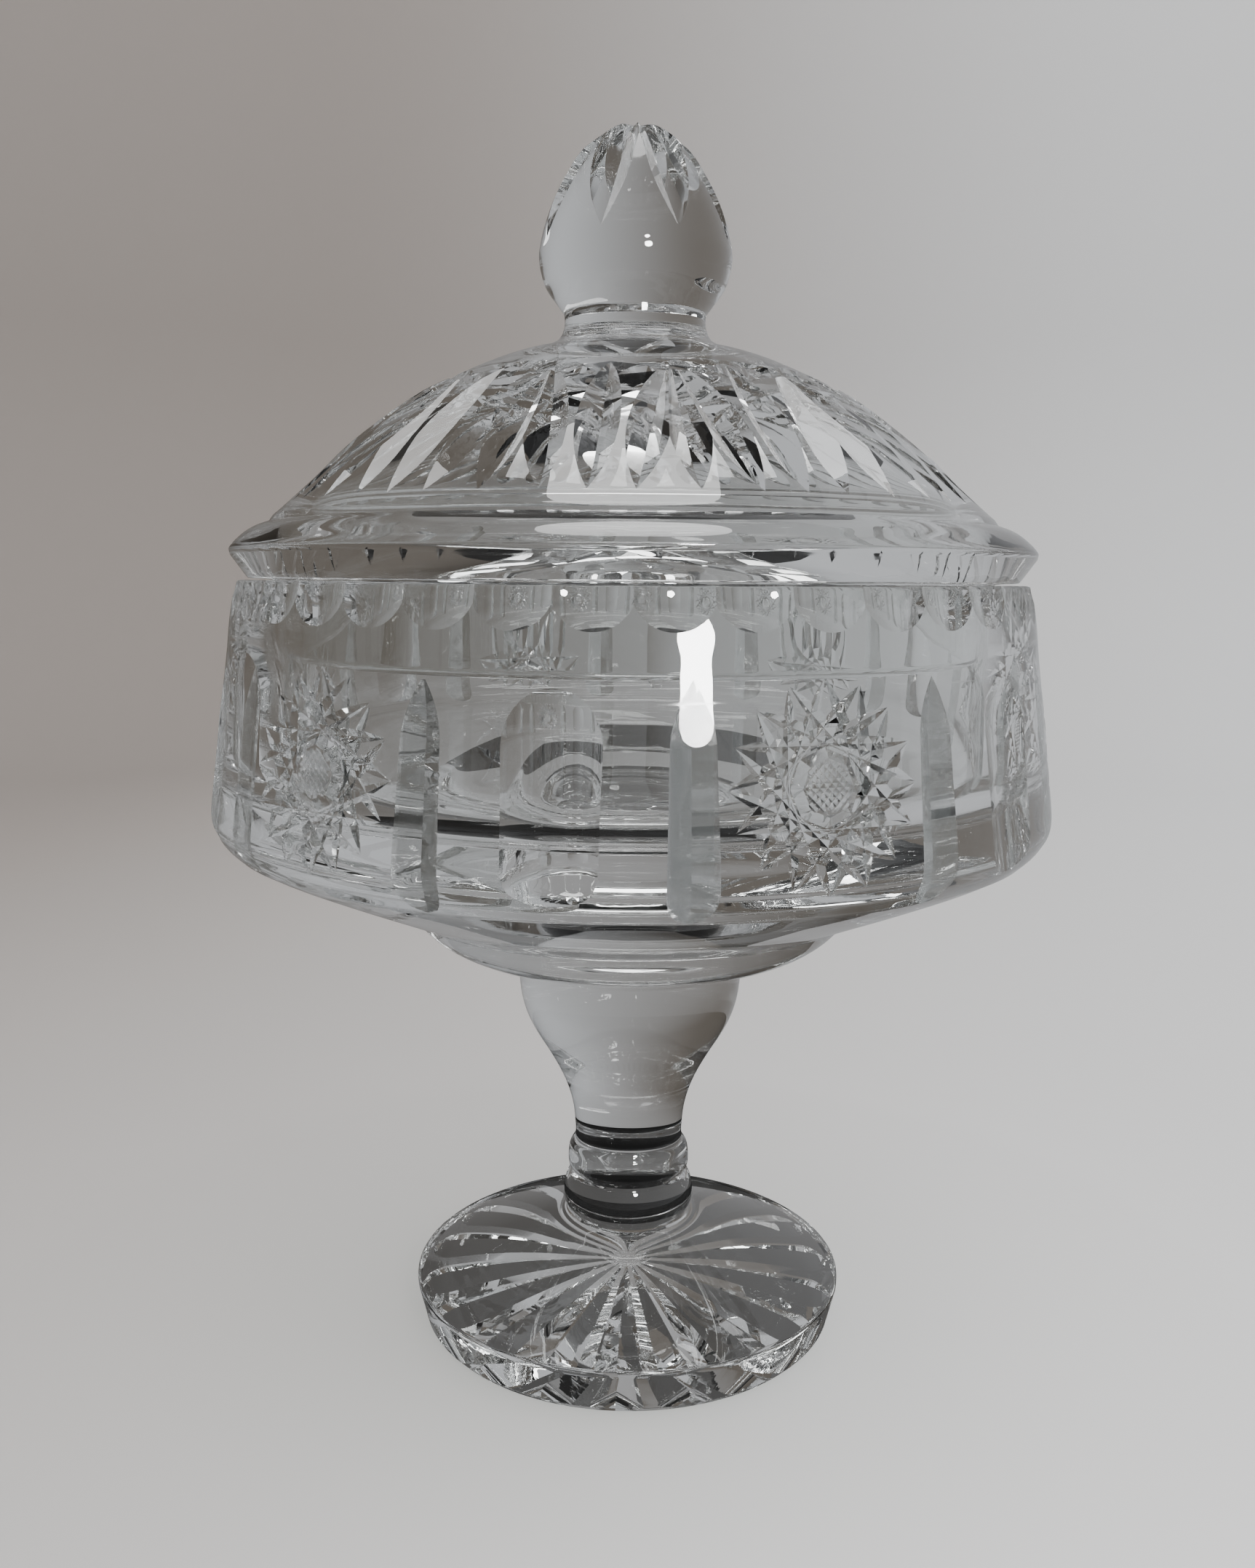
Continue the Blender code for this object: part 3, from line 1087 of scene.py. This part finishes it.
    def button_tools(self) -> list[ToolSet]:
        """Short V cuts that leave an eight-sided button in the middle of each star.

        Returns:
            The sets of tools.
        """
        away = self.button_radius + self.button_cut.depth * math.tan(math.radians(self.button_cut.half_angle))
        half_side = away * math.tan(math.pi / self.button_sides) + 1.1
        sets = []
        for side in range(self.button_sides):
            angle = 2 * math.pi * (side + 0.5) / self.button_sides
            start, end = (turn_point((away, run), angle) for run in (-half_side, half_side))
            sets += self.straight_cut(self.button_cut, start, end)
        return sets

    def hatch_tools(self) -> list[ToolSet]:
        """Fine V cuts that cross each star's button both ways, left ground.

        Returns:
            The sets of tools.
        """
        lines = int(self.button_radius / self.hatch_pitch)
        sets = []
        for slant in (math.radians(45), math.radians(-45)):
            for line in range(-lines, lines + 1):
                aside = line * self.hatch_pitch
                reach = math.sqrt(self.button_radius ** 2 - aside ** 2)
                if reach >= self.shortest_hatch:
                    start, end = (turn_point((run, aside), slant) for run in (-reach, reach))
                    sets += self.straight_cut(self.hatch_cut, start, end, Polish.GROUND)
        return sets


@dataclass
class Lid(GlassPiece):
    """Domed lid with a locating collar, a flange, and a twelve-fold star of fans on the dome."""

    node: str = "lid"
    body: str = "lid_unit"
    steps: int = 400
    seam_above: bool = True
    seat: float = 130.15
    collar: float = 58.8
    collar_wall: float = 3.6
    fold: int = 12
    turn: float = 2.4
    chord: Groove = Groove(1.15, 56, 0.35, 0.35, stops=26)
    ray: Groove = Groove(2.3, 54, 0.6, 0.42, stops=26)
    ray_end: float = 57.2

    @cached_property
    def dome(self) -> Face:
        """The dome, from the neck down to the crease above the flange."""
        return Face(tuple(through([
            (12.9, 169.3), (15.6, 168.0), (20.4, 166.7), (25.0, 165.0), (31.1, 162.2), (36.1, 159.7),
            (42.4, 155.3), (48.1, 150.7), (52.7, 146.1), (57.7, 141.5), (59.2, 140.2)], 4)))

    def outline(self) -> list[Point]:
        """Seam, neck, dome, rounded flange, flat seat, collar, and the hollow inside.

        Returns:
            The outline of the blank.
        """
        outer, inner = self.collar, self.collar - self.collar_wall
        under_lip = (65.95, 134.0)
        return [
            (0, self.top), (11.65, self.top), (11.75, 171.6), (12.1, 170.5), *self.dome.points,
            *through([(59.9, 139.2), (61.9, 138.5), (63.6, 137.5), (65.2, 136.1), (66.0, 135.1),
                      (self.radius, 134.7)], 4),
            under_lip, (63.9, 131.1), *rounded(under_lip, (63.3, 130.3), (60.0, self.seat), 0.5, 3),
            (outer + 0.9, self.seat), (outer, self.seat - 0.8),
            *rounded((outer, 125), (outer, self.low), (inner, self.low), 1.2),
            *rounded((outer, self.low), (inner, self.low), (inner, 125), 1.2),
            *through([(55.2, 130.0), (54.9, 133.2), (53.6, 136.2), (51.6, 139.2), (49.0, 142.0),
                      (44.4, 146.2), (38.0, 151.0), (29.5, 155.6), (20.0, 159.0), (10.0, 160.7),
                      (0.0, 161.2)], 4),
        ]

    def straight_cut(self, groove: Groove, start: Pair, end: Pair, groups: int = 1) -> list[ToolSet]:
        """One V cut on the dome, straight seen from above, repeated round the lid.

        Args:
            groove: The cut.
            start: Its first end: angle in degrees from an apex of the star, and radius.
            end: Its last end.
            groups: Sets that the copies are dealt out to.

        Returns:
            The sets of tools.
        """
        ends = [Vector(turn_point((0, -radius), math.radians(angle))) for angle, radius in (start, end)]

        def spot_at(share: float) -> Spot:
            """Along the straight line between the ends."""
            flat = ends[0].lerp(ends[1], share)
            return self.dome.at_radius(math.atan2(flat.x, -flat.y), flat.length)

        return ring_of(groove.tool(spot_at), self.fold, self.turn, groups)

    def tool_sets(self) -> list[ToolSet]:
        """Crossing chords round the neck, a ray under each apex, and a fan of three under each valley.

        Returns:
            The sets of tools.
        """
        valley = 180 / self.fold
        sets = []
        for side in (1, -1):
            sets += self.straight_cut(self.chord, (-4.0 * side, 31.2), (28.0 * side, 37.2), groups=2)
        sets += self.straight_cut(self.ray, (0, 32.5), (0, self.ray_end))
        for lean, spread in ((0, 0), (0.8, 8.6), (-0.8, -8.6)):
            sets += self.straight_cut(self.ray, (valley - lean, 33.2), (valley - spread, self.ray_end))
        return sets


@dataclass
class Finial(GlassPiece):
    """Solid bud that the lid is lifted by, with eight V flutes that meet on its flat top."""

    node: str = "finial"
    body: str = "lid_unit"
    steps: int = 320
    seam_below: bool = True
    flat_top: float = 3.4
    flutes: int = 8
    turn: float = -11.5
    flute: Groove = Groove(3.1, 52, 0.4, 0.5, stops=30)
    flute_end: float = 184.5
    """Height below which no flute reaches, mm."""

    @cached_property
    def bud(self) -> list[Point]:
        """Side of the bud, from the crease over the neck up to the flat top."""
        return through([
            (13.1, 175.7), (14.7, 177.9), (15.5, 180.1), (self.radius, 182.4), (15.7, 184.6), (14.7, 188.5),
            (13.0, 192.7), (10.8, 196.8), (8.9, 199.6), (6.4, 201.9), (4.4, self.top - 0.35)], 5)

    def outline(self) -> list[Point]:
        """Flat top, bud, crease, short neck and the seam.

        Returns:
            The outline of the blank.
        """
        crease = (12.3, 174.6)
        return [
            (0, self.top), (self.flat_top, self.top), *self.bud[::-1], crease,
            *rounded(crease, (11.75, 173.9), (11.7, 173.0), 0.4, 3), (11.65, self.low), (0, self.low),
        ]

    def tool_sets(self) -> list[ToolSet]:
        """Flutes from the middle of the top, over the shoulder, and out to a point on the side.

        Returns:
            The sets of tools.
        """
        side = [point for point in self.bud if point[1] > self.flute_end]
        path = Face(((0.9, self.top), (self.flat_top, self.top), *side[::-1]))

        def spot_at(share: float) -> Spot:
            """Over the shoulder of the bud."""
            place, normal = path.along(0, share)
            return place, -normal if normal.z < 0 else normal

        return ring_of(self.flute.tool(spot_at), self.flutes, self.turn, groups=2)


# ---------------------------------------------------------------- studio

def side_to_side(tree: bpy.types.NodeTree, dark: Colour, pale: Colour,
                 change: Pair) -> tuple[bpy.types.NodeSocket, bpy.types.NodeSocket]:
    """Painted shade: colour that goes from dark on the -X side of the stage to pale on the +X side, as if the
    light came from +X.

    Args:
        tree: The material's node tree.
        dark: Colour on the -X side.
        pale: Colour on the +X side.
        change: Where the change starts and ends, m.

    Returns:
        The sockets with the colour and with the place's Y.
    """
    where = add_node(tree, "ShaderNodeTexCoord")
    split = add_node(tree, "ShaderNodeSeparateXYZ", {"Vector": where.outputs["Object"]})
    side = add_node(tree, "ShaderNodeMapRange", {
        "Value": split.outputs["X"], "From Min": change[0], "From Max": change[1]},
        interpolation_type="SMOOTHSTEP")
    blend = add_node(tree, "ShaderNodeMix", {
        "Factor": side.outputs["Result"], "A": (*dark, 1), "B": (*pale, 1)}, data_type="RGBA")
    return blend.outputs["Result"], split.outputs["Y"]


@dataclass(frozen=True)
class BackdropPaper:
    """Matt paper of the floor and wall, from brown-grey on one side to pale grey on the other; the darker,
    browner -X side is painted shade, as if the light came from +X.
    """

    dark: Colour = (0.30, 0.27, 0.25)
    pale: Colour = (0.70, 0.71, 0.72)
    change: Pair = (-0.45, 0.45)
    roughness: float = 0.9

    def material(self) -> bpy.types.Material:
        """Build the paper as a material.

        Returns:
            The material.
        """
        made, tree = new_material("backdrop_paper")
        # Painted shade: the paper is darker and browner towards -X, as if lit from +X.
        colour, _ = side_to_side(tree, self.dark, self.pale, self.change)
        shader = tree.nodes["Principled BSDF"]
        tree.links.new(colour, shader.inputs["Base Color"])
        shader.inputs["Roughness"].default_value = self.roughness
        return made


@dataclass(frozen=True)
class GlowCloth:
    """Glowing sheet that only the glass sees, a painted reflection; it gives off an even light of its own."""

    name: str
    dark: Colour
    pale: Colour
    change: Pair = (-0.22, 0.20)
    front: float = 0.0
    # Painted shade: how much darker the -Y side is, from 0 to 1.
    """How much darker the -Y side is, from 0 to 1."""
    front_change: Pair = (0.05, -0.25)

    def material(self) -> bpy.types.Material:
        """Build the glowing sheet as a material.

        Returns:
            The material.
        """
        made, tree = new_material(self.name)
        made.cycles.emission_sampling = "NONE"
        tree.nodes.remove(tree.nodes["Principled BSDF"])
        # Painted reflection: the glow is darker on the -X side and dims towards the -Y side, as shade would.
        colour, depth = side_to_side(tree, self.dark, self.pale, self.change)
        fade = add_node(tree, "ShaderNodeMapRange", {
            "Value": depth, "From Min": self.front_change[0], "From Max": self.front_change[1],
            "To Min": 1.0, "To Max": 1.0 - self.front}, interpolation_type="SMOOTHSTEP")
        light = add_node(tree, "ShaderNodeEmission", {"Color": colour, "Strength": fade.outputs["Result"]})
        tree.links.new(light.outputs["Emission"], tree.nodes["Material Output"].inputs["Surface"])
        return made


@dataclass(frozen=True)
class SoftLight:
    """A soft round light that the camera doesn't see."""

    name: str
    place: Place
    """Where it hangs, m."""
    aim: Place
    """The point that it faces, m."""
    size: Pair
    """Width and height, m."""
    power: float
    """Watts."""

    def hang(self) -> None:
        """Put the light into the scene."""
        data = bpy.data.lights.new(self.name, "AREA")
        data.shape = "ELLIPSE"
        data.size, data.size_y = self.size
        data.energy = self.power
        light = bpy.data.objects.new(self.name, data)
        light.visible_camera = False
        light.location = self.place
        light.rotation_euler = (Vector(self.aim) - Vector(self.place)).to_track_quat("-Z", "Y").to_euler()
        bpy.context.scene.collection.objects.link(light)


@dataclass(frozen=True)
class Viewpoint:
    """Camera a hand's breadth away, a little to the right and above the middle, looking down."""

    lens: float = 31.95
    sensor: float = 36.0
    distance: float = 0.2395
    height: float = 0.1303
    azimuth: float = 8.5
    pitch: float = 8.30
    roll: float = 0.45
    yaw: float = 0.16

    def stand(self) -> None:
        """Put the camera into the scene."""
        data = bpy.data.cameras.new("camera")
        data.lens, data.sensor_width = self.lens, self.sensor
        data.clip_start = 0.01
        data.dof.use_dof = False
        camera = bpy.data.objects.new("camera", data)
        azimuth, pitch, roll, yaw = (math.radians(a) for a in (self.azimuth, self.pitch, self.roll, self.yaw))
        turn = (Matrix.Rotation(azimuth + yaw, 4, "Z") @ Matrix.Rotation(math.pi / 2 - pitch, 4, "X")
                @ Matrix.Rotation(roll, 4, "Z"))
        place = Vector((self.distance * math.sin(azimuth), -self.distance * math.cos(azimuth), self.height))
        camera.matrix_world = Matrix.Translation(place) @ turn
        bpy.context.scene.collection.objects.link(camera)
        bpy.context.scene.camera = camera


@dataclass
class Studio:
    """Pale round floor that curves up into a wall, with painted shade on one side, soft lights, glowing cards
    that paint reflections into the glass, and the camera.

    The lengths here are metres.
    """

    floor: float = -0.0006
    reach: float = 1.1
    cove: float = 0.35
    wall_top: float = 1.6
    foot_card: float = 0.045
    painted_table_reflection: float = 0.115
    tent_foot: float = 0.11
    tent_radius: float = 0.32
    tent_top: float = 0.62
    top_hole: float = 0.13
    room: Colour = (0.02, 0.02, 0.02)
    lights: tuple[SoftLight, ...] = (
        SoftLight("window_pane", (0.113, -0.269, 0.170), (0.018, -0.065, 0.12), (0.044, 0.050), 0.75),
        SoftLight("upper_pane", (0.105, -0.270, 0.245), (0.004, -0.016, 0.182), (0.030, 0.030), 0.30),
        SoftLight("ceiling", (0.15, 0.0, 1.55), (0.15, 0.0, 0.0), (1.3, 1.3), 30.0),
    )

    def build(self) -> None:
        """Make the floor, the cards, the lights and the camera."""
        self.backdrop()
        self.cards()
        self.dim_room()
        for light in self.lights:
            light.hang()
        Viewpoint().stand()

    def backdrop(self) -> None:
        """A turned floor and wall, seen from inside, darker on one side with painted shade."""
        bend = self.reach - self.cove
        wall = self.sheet("backdrop", [(0, self.floor), (bend, self.floor),
                                       *arc((bend, self.cove + self.floor), self.cove, -90, 0, 16)[1:],
                                       (self.reach, self.wall_top)], BackdropPaper().material())
        wall.data.shade_smooth()

    def cards(self) -> None:
        """A glowing light tent, a black ring for a dark table top, a grey disc under the foot, and a black
        lid; only the glass sees them, as painted reflections.

        Cut glass shows its surroundings turned over and broken up. The tent gives it a plain wall close
        by, brown-grey with painted shade on one side and pale on the other, and the black sheets paint in its
        dark lines, of a dark table and ceiling that the camera doesn't see.
        """
        # Painted dark reflections: black and grey sheets that glow faintly, and a glowing tent, seen only by
        # the glass.
        black = (0.012, 0.012, 0.012)
        painted_black_reflection = GlowCloth("painted_black_reflection", black, black).material()
        painted_grey_reflection = GlowCloth("painted_grey_reflection", (0.07, 0.067, 0.065), (0.09, 0.09, 0.09)).material()
        tent_glow = GlowCloth("tent_glow_reflection", (0.13, 0.115, 0.10), (0.56, 0.57, 0.59), front=0.5).material()
        low = self.floor / 2
        foot, table = (self.foot_card, low), (self.painted_table_reflection, low)
        side, top = (self.tent_radius, self.tent_foot), (self.tent_radius, self.tent_top)
        for name, outline, finish in (("foot_card", [(0, low), foot], painted_grey_reflection),
                                      ("painted_table_reflection", [foot, table], painted_black_reflection),
                                      ("tent", [table, side, top], tent_glow),
                                      ("top_card", [(self.top_hole, self.tent_top), top], painted_black_reflection)):
            card = self.sheet(name, outline, finish)
            card.visible_camera = False
            card.visible_diffuse = False
            card.visible_shadow = False

    def sheet(self, name: str, outline: Sequence[Point], finish: bpy.types.Material) -> bpy.types.Object:
        """Turn an open outline about +Z into a sheet of the stage.

        Args:
            name: Its name.
            outline: Its points, m.
            finish: Its material.

        Returns:
            The staged object.
        """
        bm = turned(outline, 96, closed=False, merge=1e-5)
        mesh = bpy.data.meshes.new(name)
        bm.to_mesh(mesh)
        bm.free()
        mesh.materials.append(finish)
        item = scene_object(name, mesh)
        return item

    def dim_room(self) -> None:
        """Dim light from the rest of the room."""
        world = bpy.context.scene.world or bpy.data.worlds.new("room")
        bpy.context.scene.world = world
        world.use_nodes = True
        world.node_tree.nodes["Background"].inputs["Color"].default_value = (*self.room, 1)
        world.node_tree.nodes["Background"].inputs["Strength"].default_value = 1.0


def light_paths() -> None:
    """Enough bounces for light to pass all the walls of the jar."""
    cycles = bpy.context.scene.cycles
    cycles.max_bounces = 32
    cycles.transmission_bounces = 32
    cycles.glossy_bounces = 16
    cycles.transparent_max_bounces = 24
    cycles.caustics_reflective = False
    cycles.caustics_refractive = False


def main() -> None:
    """Build every piece of the jar, then the studio."""
    logging.basicConfig(level=logging.INFO, format="%(name)s: %(message)s")
    finishes = crystal_finishes()
    for piece in (Foot(), Stem(), Bowl(), Lid(), Finial()):
        piece.build(finishes)
    Studio().build()
    light_paths()


if __name__ == "__main__":
    main()
